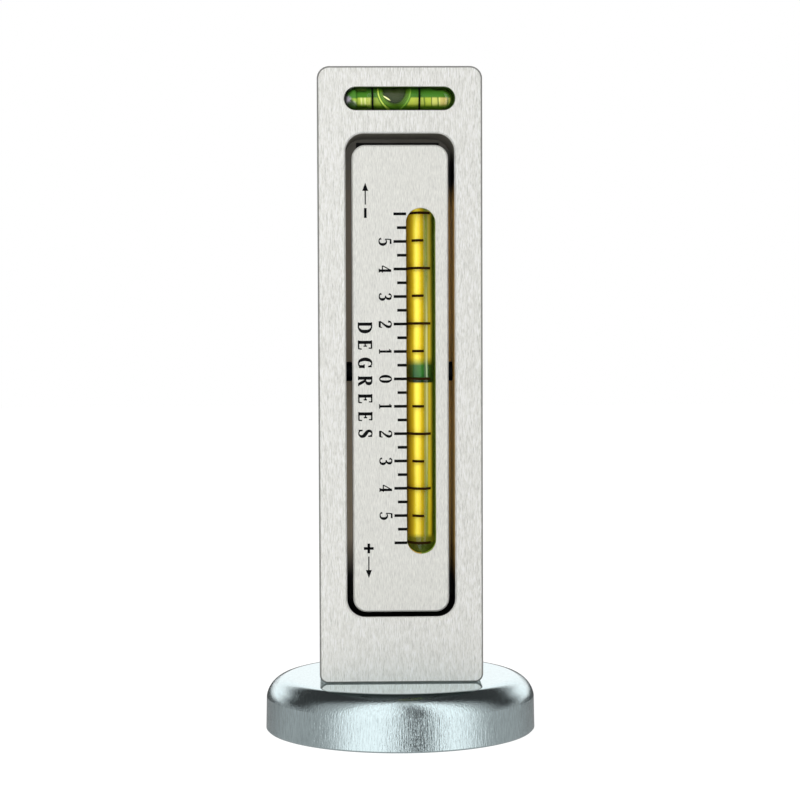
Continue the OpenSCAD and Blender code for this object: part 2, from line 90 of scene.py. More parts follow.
class GaugeSizes(bpy.types.PropertyGroup):
    """Sizes of what is drawn, blown and wound round the frame, in millimetres."""

    degree: size_prop("Degree of camber", "Travel of the camber bubble for one degree", 6.67, 5, 8)
    zero_z: size_prop("Camber zero", "Height of the camber scale's zero", 87.55, 80, 95)
    caster_degree: size_prop("Degree of caster", "Spacing of the caster scale for one degree", 4.57, 4, 6)
    caster_zero: size_prop("Caster zero", "Height of the caster scale's zero", 89, 80, 95)
    tick_width: size_prop("Tick width", "Width of a printed tick", 0.68, 0.3, 1)
    ink: size_prop("Ink thickness", "Thickness of the print", 0.03, 0.01, 0.1)
    mark_width: size_prop("Vial mark width", "Width of a line printed on a vial", 0.64, 0.2, 1)
    camber_middle: size_prop("Camber vial's middle", "Height of the camber vial's middle", 86.9, 80, 95)
    long_bend: size_prop("Bend of the long vials", "Bend radius of the long vials", 383, 350, 420)
    long_wall: size_prop("Wall of the long vials", "Wall of the long vials", 0.9, 0.6, 1.2)
    level_bend: size_prop("Bend of the level vial", "Bend radius of the level vial", 500, 300, 900)
    level_wall: size_prop("Wall of the level vial", "Wall of the level vial", 0.7, 0.5, 0.9)
    wire: size_prop("Spring wire", "Diameter of the springs' wire", 0.6, 0.4, 0.8)
    pitch: size_prop("Thread pitch", "Pitch of the zero screw's thread", 0.7, 0.5, 1)
    streak: size_prop("Brush streak", "Width of a streak in the brushed metal", 0.16, 0.1, 1)
    streak_length: size_prop("Streak length", "Length of a streak in the brushed metal", 1.6, 1, 20)


class GaugeColours(bpy.types.PropertyGroup):
    """Colours of the gauge's finishes."""

    bar: colour_prop("Bar", "Brushed aluminium of the bar", "#EFEFE9")
    block: colour_prop("Block", "Satin aluminium of the block", "#E3E3DD")
    ink: colour_prop("Ink", "Print of the scales", "#08090A")
    nickel: colour_prop("Nickel", "Plating of the foot", "#DDEEF1")


# ---- Meshes worked out with numpy

def make_piece(name, points, faces, body, smooth=False):
    """A mesh object of that name from an (n, 3) array of points and a list of faces, riding on a body."""
    mesh = bpy.data.meshes.new(name)
    mesh.from_pydata(np.asarray(points, float).tolist(), [], [list(map(int, f)) for f in faces])
    piece = bpy.data.objects.new(name, mesh)
    bpy.context.scene.collection.objects.link(piece)
    face_outwards(mesh)
    if smooth:
        mesh.polygons.foreach_set("use_smooth", np.ones(len(mesh.polygons), bool))
    if body:
        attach(piece, body)
    return piece


def face_outwards(mesh):
    """Merges the points of seams and poles, and turns every closed shell so that its faces point out."""
    shells = bmesh.new()
    shells.from_mesh(mesh)
    bmesh.ops.remove_doubles(shells, verts=shells.verts, dist=1e-8)
    bmesh.ops.recalc_face_normals(shells, faces=shells.faces)
    shells.to_mesh(mesh)
    shells.free()


def grid_faces(rows, columns, close_rows=False, close_columns=False, start=0):
    """Quads of a grid of points numbered row by row, joined round on itself where asked."""
    i = np.arange(rows if close_rows else rows - 1)
    j = np.arange(columns if close_columns else columns - 1)
    i, j = [a.ravel() for a in np.meshgrid(i, j, indexing="ij")]
    i2, j2 = (i + 1) % rows, (j + 1) % columns
    corners = [i * columns + j, i2 * columns + j, i2 * columns + j2, i * columns + j2]
    return (np.stack(corners, 1) + start).tolist()


def sweep(path, side, up, section, closed=False):
    """Carries a closed outline along a path: point (i, j) is path[i] + a[j] * side[i] + b[j] * up[i],
    where (a, b) is the outline. The ends are closed with one face each, unless the path is closed."""
    path, side, up, section = [np.asarray(a, float) for a in (path, side, up, section)]
    points = (
        path[:, None, :]
        + section[None, :, 0, None] * side[:, None, :]
        + section[None, :, 1, None] * up[:, None, :]
    )
    rows, columns = points.shape[:2]
    faces = grid_faces(rows, columns, close_rows=closed, close_columns=True)
    if not closed:
        faces.append(list(range(columns)))
        faces.append(list(range((rows - 1) * columns, rows * columns)))
    return points.reshape(-1, 3), faces


def joined(parts):
    """Several (points, faces) pairs as one."""
    points, faces, count = [], [], 0
    for p, f in parts:
        points.append(np.asarray(p, float))
        faces += [[v + count for v in face] for face in f]
        count += len(p)
    return np.concatenate(points), faces


def round_section(radius, sides):
    """Outline of a round wire: (r cos t, r sin t)."""
    t = np.linspace(0, 2 * np.pi, sides, endpoint=False)
    return np.stack([radius * np.cos(t), radius * np.sin(t)], 1)


def box_section(width, height):
    """Outline of a flat strip, centred."""
    return np.array([[-1, -1], [1, -1], [1, 1], [-1, 1]]) * np.array([width / 2, height / 2])


def smooth_curve(points, per_span=8):
    """Catmull-Rom curve through the points, all their columns alike: each span is the usual cubic of
    its two ends and their two neighbours."""
    p = np.asarray(points, float)
    if len(p) == 2:
        return p[0] + np.linspace(0, 1, 3)[:, None] * (p[1] - p[0])
    q = np.vstack([2 * p[0] - p[1], p, 2 * p[-1] - p[-2]])
    t = np.linspace(0, 1, per_span, endpoint=False)[None, :, None]
    a, b, c, d = [q[k:len(p) - 1 + k][:, None, :] for k in range(4)]
    curve = 0.5 * (2 * b + (c - a) * t + (2 * a - 5 * b + 4 * c - d) * t**2 + (3 * b - a - 3 * c + d) * t**3)
    return np.vstack([curve.reshape(-1, p.shape[1]), p[-1]])


def pen_stroke(points, depth):
    """A stroke of varying width, as a flat closed slab. The points are (u, v, half width); the slab's
    edges lie half a width to each side of the curve, and its faces at 0 and at depth."""
    curve = smooth_curve(points)
    line, half = curve[:, :2], curve[:, 2:3]
    along = np.gradient(line, axis=0)
    along /= np.maximum(np.linalg.norm(along, axis=1, keepdims=True), 1e-9)
    across = np.stack([-along[:, 1], along[:, 0]], 1) * half
    outline = np.stack([line - across, line + across, line + across, line - across], 1)
    level = np.broadcast_to(np.array([0, 0, depth, depth]), outline.shape[:2])[..., None]
    slab = np.concatenate([outline, level], 2)
    faces = grid_faces(len(line), 4, close_columns=True)
    faces += [[0, 1, 2, 3], [4 * len(line) - 4 + k for k in range(4)]]
    return slab.reshape(-1, 3), faces


THIN, FAT = 2.8, 7.2


def loop_stroke(cu, cv, ru, rv, start=0.0, turn=1.0):
    """Control points of an oval stroke, fat at its sides and thin above and below."""
    t = np.linspace(start, start + turn, 13) * 2 * np.pi
    half = THIN + (FAT - THIN) * np.abs(np.cos(t)) ** 1.5
    return np.stack([cu + ru * np.cos(t), cv + rv * np.sin(t), half], 1)


# Plain glyphs with feet, 100 units high, as strokes of (u, v, half width), THIN where no width is given
GLYPHS = {
    "0": [loop_stroke(30, 50, 22, 46)],
    "1": [[(30, 0, 6), (30, 98, 6)], [(30, 95), (13, 80)], [(12, 3), (48, 3)]],
    "2": [[(10, 72, 6), (14, 90, 3.5), (31, 97), (49, 87, 6), (50, 68, 7),
           (37, 45, 5), (18, 22, 3.5), (8, 6, 3)], [(7, 6, 5.5), (53, 6, 5.5)], [(53, 2), (56, 24)]],
    "3": [[(10, 78, 5.5), (16, 93, 3.5), (31, 97), (46, 87, 6), (46, 68, 6), (35, 56, 3.5), (22, 53)],
          [(22, 53), (41, 49, 4), (52, 31, 7.2), (46, 10, 5), (28, 3), (12, 8, 3.5), (8, 20, 5.5)]],
    "4": [[(41, 97), (4, 30)], [(3, 29, 3), (58, 29, 3)],
          [(42, 0, 6.5), (42, 98, 6.5)], [(27, 3), (57, 3)]],
    "5": [[(13, 94, 4.5), (50, 94, 4.5)], [(14, 95), (11, 52)],
          [(11, 52), (28, 61, 3), (46, 53, 5.5), (53, 32, 7.5), (45, 10, 5),
           (26, 3), (11, 8, 3.5), (8, 20, 5.5)]],
    "6": [[(50, 86, 5), (38, 96, 3), (20, 84, 4.5), (10, 58, 7), (10, 32, 7.5),
           (17, 10, 5), (31, 3), (46, 12, 5.5), (51, 32, 7), (45, 50, 5), (31, 58), (15, 48, 3)]],
    "8": [loop_stroke(30, 75, 16, 20), loop_stroke(30, 28, 20, 25)],
    "D": [[(15, 2, 7), (15, 98, 7)], [(15, 97), (42, 95, 3.5), (62, 78, 6.5), (68, 50, 8), (62, 22, 6.5),
           (42, 5, 3.5), (15, 3)], [(2, 97), (28, 97)], [(2, 3), (28, 3)]],
    "E": [[(17, 2, 7), (17, 98, 7)], [(3, 96, 3.2), (60, 96, 3.2)],
          [(17, 51, 3), (44, 51, 3)], [(3, 4, 3.2), (62, 4, 3.2)],
          [(60, 99), (58, 76)], [(44, 63), (44, 39)], [(62, 1), (65, 26)]],
    "G": [[(62, 74, 3), (56, 90, 3), (40, 97), (20, 86, 6), (10, 50, 8), (20, 14, 6), (42, 3), (60, 10, 4)],
          [(62, 6, 6.5), (62, 42, 6.5)], [(46, 43), (74, 43)], [(63, 98), (63, 70)]],
    "R": [[(17, 2, 7), (17, 98, 7)], [(17, 97), (40, 96, 3.5), (54, 85, 7), (54, 66, 7), (40, 54, 3.5),
           (17, 52)], [(34, 52, 5), (48, 27, 6.5), (60, 5, 6)], [(3, 97), (28, 97)], [(3, 3), (31, 3)],
          [(54, 3), (74, 3)]],
    "S": [[(50, 74, 3.5), (44, 91, 3), (30, 97), (14, 87, 5.5), (13, 69, 6.5),
           (30, 53, 8), (47, 38, 7.5), (50, 20, 6), (40, 6, 3.5), (26, 3), (12, 10, 3), (7, 27, 3.5)],
          [(50, 98), (50, 70)], [(7, 2), (7, 30)]],
    "-": [[(0, 50, 9), (80, 50, 9)]],
    "+": [[(0, 50, 9), (80, 50, 9)], [(40, 10, 9), (40, 90, 9)]],
    ">": [[(0, 50, 4), (120, 50, 4)], [(110, 50, 20), (175, 50, 0.2)]],
    "<": [[(175, 50, 4), (55, 50, 4)], [(65, 50, 20), (0, 50, 0.2)]],
}


def glyph(letter, height, weight, depth, place):
    """A glyph of that height as slabs. place turns (u, v, level) into points of the frame."""
    parts = []
    for points in GLYPHS[letter]:
        scaled = np.array([(*p, THIN)[:3] for p in points]) / 100 * height * np.array([1, 1, weight])
        slab, faces = pen_stroke(scaled, depth)
        parts.append((place(slab), faces))
    return joined(parts)


SUNK = 0.01 * MM  # how far the print reaches into the face, so that no gap shows under it


def face_place(x0, z0, face_y, out):
    """Places print on a face that looks along out * Y: u runs down, v runs to the reader's right,
    as the scale reads when the gauge is held level, and level 0 lies just inside the face."""
    def place(slab):
        u, v, level = slab.T
        return np.stack([x0 - out * v, face_y + out * (level - SUNK), z0 - u], 1)
    return place


def tick(x0, x1, z, width, depth, face_y, out):
    """A printed line from x0 to x1 at the height z."""
    points = np.array([(0, x0, width / 2), (0, x1, width / 2)])
    slab, faces = pen_stroke(points, depth)
    u, v, level = slab.T
    return np.stack([v, face_y + out * (level - SUNK), z + u], 1), faces


# ---- The bent vials

END_STEP = 0.05 * MM  # step in radius where a vial's round end meets its bent part
GLASS_IOR = 1.49


class Vial:
    """A bent vial: the direction along it, the side that it bulges to, and its sizes, from its tube's box.
    Its middle line is middle + bend * sin(a) * along - bend * (1 - cos(a)) * bulge, where
    sin(a) = s / bend."""

    def __init__(self, node, along, bulge, bend, wall, middle):
        low, high = [np.array(corner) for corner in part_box(node)]
        self.along, self.bulge = np.array(along, float), np.array(bulge, float)
        self.side = np.abs(np.cross(self.along, self.bulge))
        self.bend = bend
        self.outer = (high - low) @ self.side / 2
        self.bore = self.outer - wall
        crest = max(low @ self.bulge, high @ self.bulge) - self.outer
        self.middle = (low + high) / 2 * self.side + crest * self.bulge + middle * self.along
        self.top = high @ self.along - middle - self.outer + END_STEP

    def points(self, s, radius, turn):
        """Points at the distance s along the vial, at a radius, turned from its bulging side."""
        s, radius, turn = [a[..., None] for a in np.broadcast_arrays(s, radius, turn)]
        held = np.clip(s, -self.top, self.top)
        sine = held / self.bend
        cosine = np.sqrt(1 - sine ** 2)
        centre = self.middle + held * self.along - self.bend * (1 - cosine) * self.bulge
        ahead = cosine * self.along - sine * self.bulge
        outwards = cosine * self.bulge + sine * self.along
        return centre + (s - held) * ahead + radius * (np.cos(turn) * outwards + np.sin(turn) * self.side)


def vials(sizes):
    """The three vials by kind, bent to fit their tubes in the frame."""
    long_bend, long_wall = sizes.long_bend * MM, sizes.long_wall * MM
    caster_low, caster_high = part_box("caster_vial_tube")
    level_low, level_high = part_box("level_vial_tube")
    return {
        "camber": Vial("camber_vial_tube", (0, 0, 1), (0, -1, 0), long_bend, long_wall,
                       sizes.camber_middle * MM),
        "caster": Vial("caster_vial_tube", (0, 0, 1), (0, 1, 0), long_bend, long_wall,
                       (caster_low[2] + caster_high[2]) / 2),
        "level": Vial("level_vial_tube", (1, 0, 0), (0, 0, 1), sizes.level_bend * MM, sizes.level_wall * MM,
                      (level_low[0] + level_high[0]) / 2),
    }


def blow_tube(name, vial, overlap, body):
    """A vial's clear tube, open at its lower end: an outline (s, radius) turned about the bent middle line.
    The outline runs from the bore's round end down the bore, and up the outside to the outer round end.
    The bore is narrower than the frame's by the overlap, so that the liquid sits in the glass."""
    quarter = np.linspace(0, np.pi / 2, 10)
    straight = np.linspace(-vial.top, vial.top, 70)
    bore = vial.bore - overlap
    s = np.concatenate([
        vial.top + bore * np.cos(quarter), straight[::-1], straight, vial.top + vial.outer * np.sin(quarter)])
    radius = np.concatenate([
        bore * np.sin(quarter), np.full_like(straight, bore), np.full_like(straight, vial.outer),
        vial.outer * np.cos(quarter)])
    radius[[0, -1]] = 0
    turn = np.linspace(0, 2 * np.pi, 65)[:-1]
    grid = vial.points(s[:, None], radius[:, None], turn[None, :])
    faces = grid_faces(len(s), len(turn), close_columns=True)
    return make_piece(name, grid.reshape(-1, 3), faces, body, smooth=True)


def vial_mark(vial, s, first, last, width, lift=0.012 * MM, thickness=0.03 * MM):
    """A line printed across a vial at s: a strip that follows the glass from one angle to another, in
    degrees from the side that bulges."""
    turn = np.radians(np.linspace(first, last, 41))
    path = vial.points(np.array(s), np.array(vial.outer + lift), turn)
    out = vial.points(np.array(s), np.array(vial.outer + 1.0), turn) - path
    out /= np.linalg.norm(out, axis=1, keepdims=True)
    along = np.broadcast_to(vial.along, path.shape)
    return sweep(path, out, along, box_section(thickness, width), closed=last - first >= 360)


def seen_through(share, vial):
    """Where on a vial's liquid, as a share of its width, a straight look meets it that reaches the clear
    tube at that share of the tube's width. The look bends there by the law of refraction."""
    across = (2 * share - 1) * 0.999  # stays short of the very edge
    inside = across / GLASS_IOR
    reach = math.asin(across) - math.asin(inside) + math.asin(inside * vial.outer / vial.bore)
    return 0.5 + 0.5 * math.sin(max(-math.pi / 2, min(math.pi / 2, reach)))


# ---- Materials

def as_colour(value):
    """A hex colour, a grey level or a colour, as linear RGBA."""
    if isinstance(value, str):
        return linear(value)
    if isinstance(value, (int, float)):
        return (value, value, value, 1.0)
    return tuple(value[:3]) + (1.0,)


def shade(colour, factor):
    """A colour made lighter or darker."""
    return tuple(min(1.0, c * factor) for c in as_colour(colour)[:3]) + (1.0,)


def add_node(tree, kind, *inputs, out=0, stops=(), **settings):
    """Adds a shader node with its settings, and gives back the output asked for, or all of them where out
    is None. Inputs come in order, or by name in a dict: a socket is linked, and a value or a hex colour is
    set. Stops are a colour ramp's (place, colour) pairs."""
    made = tree.nodes.new("ShaderNode" + kind)
    if stops:
        made.color_ramp.interpolation = settings.pop("interpolation", "LINEAR")
        while len(made.color_ramp.elements) < len(stops):
            made.color_ramp.elements.new(0.5)
        for element, (place, colour) in zip(made.color_ramp.elements, stops):
            element.position = place
            element.color = as_colour(colour)
    for key, value in settings.items():
        setattr(made, key, value)
    named = inputs[0] if inputs and isinstance(inputs[0], dict) else dict(enumerate(inputs))
    for key, value in named.items():
        if isinstance(value, bpy.types.NodeSocket):
            tree.links.new(value, made.inputs[key])
        elif value is not None:
            made.inputs[key].default_value = linear(value) if isinstance(value, str) else value
    return made.outputs[out] if made.outputs and out is not None else made.outputs


def new_material(name):
    """An empty node material, and the function that adds a node to it."""
    material = bpy.data.materials.new(name)
    material.use_nodes = True
    material.node_tree.nodes.clear()
    return material, partial(add_node, material.node_tree)


def dress(material, *things):
    """Gives CAD nodes, by name, or new pieces that material."""
    for thing in things:
        piece = NODES[thing] if isinstance(thing, str) else thing
        piece.data.materials.clear()
        piece.data.materials.append(material)


def streaks(add, width, length, seed, detail=3.0, roughness=0.55):
    """Noise drawn out along Z, for metal brushed or drawn along Z. Width and length are in metres."""
    placed = add("Mapping", add("TexCoord", out="Object"), (seed, seed * 0.7, seed * 0.3), None,
                 (1 / width, 1 / width, 1 / length))
    return add("TexNoise", {"Vector": placed, "Scale": 1.0, "Detail": detail, "Roughness": roughness})


def within(add, where, low, high):
    """1 inside the box between two corners, and 0 outside. where holds the place's X, Y and Z."""
    share = None
    for corner, test in ((low, "GREATER_THAN"), (high, "LESS_THAN")):
        for axis, limit in zip("XYZ", corner):
            side = add("Math", where[axis], limit, operation=test)
            share = side if share is None else add("Math", share, side, operation="MULTIPLY")
    return share


def brushed_aluminium(name, colour, grain, metallic, rough, contrast, seed, walls):
    """Aluminium brushed along Z: a metal with fine lengthwise scratches of a grain's (width, length), and
    slightly uneven in tone. The walls of its openings are matt, with painted light and shade from what lies
    in them."""
    material, add = new_material(name)
    fine = streaks(add, *grain, seed, detail=2.0, roughness=0.7)
    base = add("ValToRGB", fine, stops=[
        (0.3, shade(colour, 1 - contrast)), (0.5, colour), (0.7, shade(colour, 1 + contrast))])
    base, cut = walls(add, base)
    add("OutputMaterial", add("BsdfPrincipled", {
        "Base Color": base,
        "Metallic": add("MapRange", cut, 0.0, 1.0, metallic, 0.0),
        "Roughness": add("MapRange", fine, 0.3, 0.7, rough - 0.08, rough + 0.08),
        "Normal": add("Bump", {"Height": fine, "Strength": 0.3, "Distance": 0.02 * MM}),
    }))
    return material


# Heights between which the bar and its block turn dark in mirrors
MIRROR_FADE = (17 * MM, 21 * MM)


def dark_in_mirrors(add, where, base):
    """Darkens all but the lowest part in mirrors, because the foot's shoulder shows the bar dark."""
    ray = add("LightPath", out=None)
    mirrored = add("Math", ray["Is Glossy Ray"], ray["Is Transmission Ray"],
                   operation="SUBTRACT", use_clamp=True)
    above = add("MapRange", where["Z"], *MIRROR_FADE)
    return add("MixRGB", add("Math", mirrored, above, operation="MULTIPLY"), base, "#2A302E")


def moved(corner, x, y, z):
    """A corner moved by so many millimetres along each axis."""
    return [c + d * MM for c, d in zip(corner, (x, y, z))]


def bar_walls(add, base):
    """Paints light on the walls of the bar's window, amber on the right and grey-brown on the left where the
    vials light them, with painted shade at their ends. Paints the level vial's green light on the walls of
    its slot, and painted shade on the bar's chamfered edges. Gives back the colour, and where the window's
    walls are."""
    coords = add("TexCoord", out=None)
    where = add("SeparateXYZ", coords["Object"], out=None)
    # Painted shade: faces that lean off the axes, the bar's chamfered edges, turn dark grey outside the
    # window
    turned = add("VectorMath", coords["Normal"], operation="ABSOLUTE")
    turned = add("SeparateXYZ", turned, out=None)
    flat = add("Math", turned["X"], turned["Y"], operation="MAXIMUM")
    flat = add("Math", flat, turned["Z"], operation="MAXIMUM")
    shaded_edges = add("MixRGB", add("MapRange", flat, 0.8, 0.95, 0.6, 0.0), base, "#4A4A48")
    bar_low, bar_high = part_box("frame")
    low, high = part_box("vial_block")
    past_bar = 10
    rim = within(add, where, moved(low, -2.5, -past_bar, -2.5), moved(high, 2.5, past_bar, 4.0))
    base = add("MixRGB", rim, shaded_edges, base)

    skin = 0.45 * MM
    window_low, window_high = moved(low, -1.6, 0, -1.3), moved(high, 1.6, 0, 3.0)
    window_low[1], window_high[1] = bar_low[1] + skin, bar_high[1] - skin
    inside = within(add, where, window_low, window_high)
    right_side = add("Math", where["X"], 10 * MM, operation="GREATER_THAN")
    height = add("MapRange", where["Z"], 30 * MM, 150 * MM)
    # Painted light of the vials on the window's walls, with painted shade at their bottom and, on the right,
    # near their top
    left = add("ValToRGB", height, stops=[
        (0.06, "#0C0C0A"), (0.14, "#A09480"), (0.85, "#7E7468"), (0.95, "#76736A")])
    right = add("ValToRGB", height, stops=[
        (0.06, "#0C0C0A"), (0.14, "#BE984A"), (0.83, "#C29448"), (0.88, "#1A1A14"), (0.92, "#1A1A14"),
        (0.96, "#76736A")])
    # The strip of rear wall that shows just above the block lies in full shadow
    strip = within(add, where, (low[0] + 1.3 * MM, high[1] - 4 * MM, high[2] + 0.3 * MM),
                   moved(high, -1.3, past_bar, 1.9))
    walls = add("MixRGB", strip, add("MixRGB", right_side, left, right), "#060605")
    base = dark_in_mirrors(add, where, add("MixRGB", inside, base, walls))

    # Painted light: the level vial's green light on the walls of its slot
    reach = 0.4
    low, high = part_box("level_vial_tube")
    slot_low = moved(low, -reach, 0, -reach)
    slot_low[1] = bar_low[1] + skin / 2
    slot = within(add, where, slot_low, moved(high, reach, reach, reach))
    return add("MixRGB", slot, base, "#6C9434"), inside


def block_walls(add, base):
    """Paints the yellow vials' light on the walls of the block's slot, amber on the left and olive on the
    right.
    Gives back the colour, and where the slot's walls are."""
    where = add("SeparateXYZ", add("TexCoord", out="Object"), out=None)
    base = dark_in_mirrors(add, where, base)
    block_low, block_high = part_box("vial_block")
    low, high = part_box("camber_vial_tube")
    skin, reach = 0.25 * MM, 0.4
    slot_low, slot_high = moved(low, -reach, 0, -reach), moved(high, reach, 0, reach)
    slot_low[1], slot_high[1] = block_low[1] + skin, block_high[1] - skin
    slot = within(add, where, slot_low, slot_high)
    # Painted light of the yellow vials, amber on the left and olive on the right
    right_side = add("Math", where["X"], float(low[0] + high[0]) / 2, operation="GREATER_THAN")
    return add("MixRGB", slot, base, add("MixRGB", right_side, "#D8B038", "#7C9C28")), slot


def drawn_nickel(name, colour):
    """Nickel-plated steel drawn into a cup: a mirror on its flat top, with the fine pebbling of the drawn
    sheet on its shoulder and scratches down its side."""
    material, add = new_material(name)
    lines = streaks(add, 0.32 * MM, 2.4 * MM, 3.0)
    pebbles = streaks(add, 0.32 * MM, 0.4 * MM, 9.0, detail=2.0)
    upwards = add("SeparateXYZ", add("NewGeometry", out="Normal"), out="Z")
    side = add("MapRange", upwards, 0.1, 0.5, 1.0, 0.0)
    curved = add("MapRange", upwards, 0.85, 0.99, 1.0, 0.0)
    scratched = add("Math", lines, side, operation="MULTIPLY")
    uneven = add("Math", scratched, 1.6, pebbles, operation="MULTIPLY_ADD")
    strength = add("Math", curved, 0.75, operation="MULTIPLY")
    add("OutputMaterial", add("BsdfPrincipled", {
        "Base Color": add("ValToRGB", lines, stops=[
            (0.3, shade(colour, 0.86)), (0.5, colour), (0.7, shade(colour, 1.1))]),
        "Metallic": 1.0,
        "Roughness": add("MapRange", curved, 0.0, 1.0, 0.06, 0.12),
        "Normal": add("Bump", {"Height": uneven, "Strength": strength, "Distance": 0.06 * MM}),
    }))
    return material


def turned_metal(name, colour, rough, grain=0.3 * MM, contrast=0.12, metallic=1.0, gloss=0.5):
    """Metal turned on a lathe, or drawn wire: a fine uneven grain on a bright surface."""
    material, add = new_material(name)
    noise = add("TexNoise", {
        "Vector": add("TexCoord", out="Object"), "Scale": 1 / grain, "Detail": 3.0})
    add("OutputMaterial", add("BsdfPrincipled", {
        "Base Color": add("ValToRGB", noise, stops=[
            (0.3, shade(colour, 1 - contrast)), (0.7, shade(colour, 1 + contrast))]),
        "Metallic": metallic,
        "Specular IOR Level": gloss,
        "Roughness": add("MapRange", noise, 0.3, 0.7, rough - 0.06, rough + 0.08),
        "Normal": add("Bump", {"Height": noise, "Strength": 0.2, "Distance": 0.02 * MM}),
    }))
    return material


def matt_solid(name, colour, rough, grain=0.6 * MM, contrast=0.15, gloss=0.3):
    """A dull solid such as moulded rubber, sintered ferrite or dried ink, with a faint grain."""
    return turned_metal(name, colour, rough, grain, contrast, metallic=0.0, gloss=gloss)


def level_plug(name, box):
    """Grey-lilac stopper of the level vial, with a painted reflection of the green spirit on its inner side,
    darker towards the bottom.
    """
    material, add = new_material(name)
    coords = add("TexCoord", out="Object")
    where = add("SeparateXYZ", coords, out=None)
    blotch = add("TexNoise", {"Vector": coords, "Scale": 900.0, "Detail": 2.0})
    rubber = add("ValToRGB", blotch, stops=[(0.42, "#34402C"), (0.52, "#6E7070"), (0.62, "#9A94A0")])
    low, high = box
    middle = (low[2] + high[2]) / 2
    # Painted reflection of the green spirit, in stripes, on the stopper's side next to the liquid
    slant = add("Math", where["X"], where["Z"], operation="ADD")
    rim = high[0] + middle
    green_reflection = add("MapRange", slant, rim - 1.9 * MM, rim - 0.9 * MM)
    under = add("MapRange", where["Z"], middle - 0.6 * MM, low[2] + 0.8 * MM)
    stripe = add("MapRange", where["Z"], middle + 0.3 * MM, middle - 0.1 * MM)
    spirit = add("MixRGB", stripe, "#3D6E21", "#8CA838")
    rubber_part = add("MixRGB", under, rubber, "#2E4A16")
    reflection_part = add("MixRGB", under, spirit, "#4A6A14")
    add("OutputMaterial", add("BsdfPrincipled", {
        "Base Color": add("MixRGB", green_reflection, rubber_part, reflection_part), "Roughness": 0.4, "Specular IOR Level": 0.2,
    }))
    return material


def clear_acrylic(name):
    """Cast acrylic of the vials: clear and smooth, with an edge that bends what lies behind it."""
    material, add = new_material(name)
    haze = add("TexNoise", {
        "Vector": add("TexCoord", out="Object"), "Scale": 300.0, "Detail": 2.0})
    add("OutputMaterial", add("BsdfPrincipled", {
        "Base Color": "#FBFDF4", "Transmission Weight": 1.0, "IOR": GLASS_IOR,
        "Roughness": add("MapRange", haze, 0.3, 0.7, 0.0, 0.02),
    }))
    return material


# Mineral spirit under a clear tube: soft highlights only, because the tube's own surface shines above it
SPIRIT_GLOSS = {"Roughness": 0.25, "IOR": 1.36, "Specular IOR Level": 0.15}

# Colours of the long vials' yellow spirit, from the left edge of its tube (0) to the right (1), as the light
# bends in it: (share of the tube's width, colour in the middle, near the bottom, near the top). Where one is
# left out, the middle's colour stands.
YELLOW_BANDS = [
    (0.000, "#3A2A06"), (0.035, "#6A5008"), (0.070, "#9A7A12", "#94760F"), (0.140, "#AE8E12", "#A8880F"),
    (0.220, "#C9AA18", "#C0A214"), (0.290, "#F2DC3C", "#E8D030"), (0.360, "#FBEB52", "#F4E444"),
    (0.430, "#F3D82E", "#EAD028"), (0.500, "#D2B01A", "#C8A814"), (0.580, "#A8900F", "#A08A0F"),
    (0.640, "#86800F", "#847E10", "#7C7C18"), (0.680, "#A6A64E", "#7A8A30", "#74802A"),
    (0.705, "#C6C588", "#7E8E34", "#78842C"), (0.730, "#A6A64E", "#88902C", "#80883C"),
    (0.760, "#B8A222", "#C8B428", "#A09A50"), (0.810, "#D2BA2E", "#E0C828", "#B8A838"),
    (0.860, "#A8962A", "#C8B020", "#9A8C28"), (0.900, "#5E6414", "#6A6C14"), (0.940, "#344408"),
    (1.000, "#1A2804"),
]
BAND_STRENGTH = 0.89

# The steel pin's green shadow across a long vial, over the same shares of the tube's width
PIN_SHADOW = [
    (0.1, "#0A2A10"), (0.3, "#12542C"), (0.5, "#1C6428"), (0.66, "#143E12"), (0.705, "#9DB98A"),
    (0.74, "#1A4A16"), (0.95, "#0A1E08"),
]


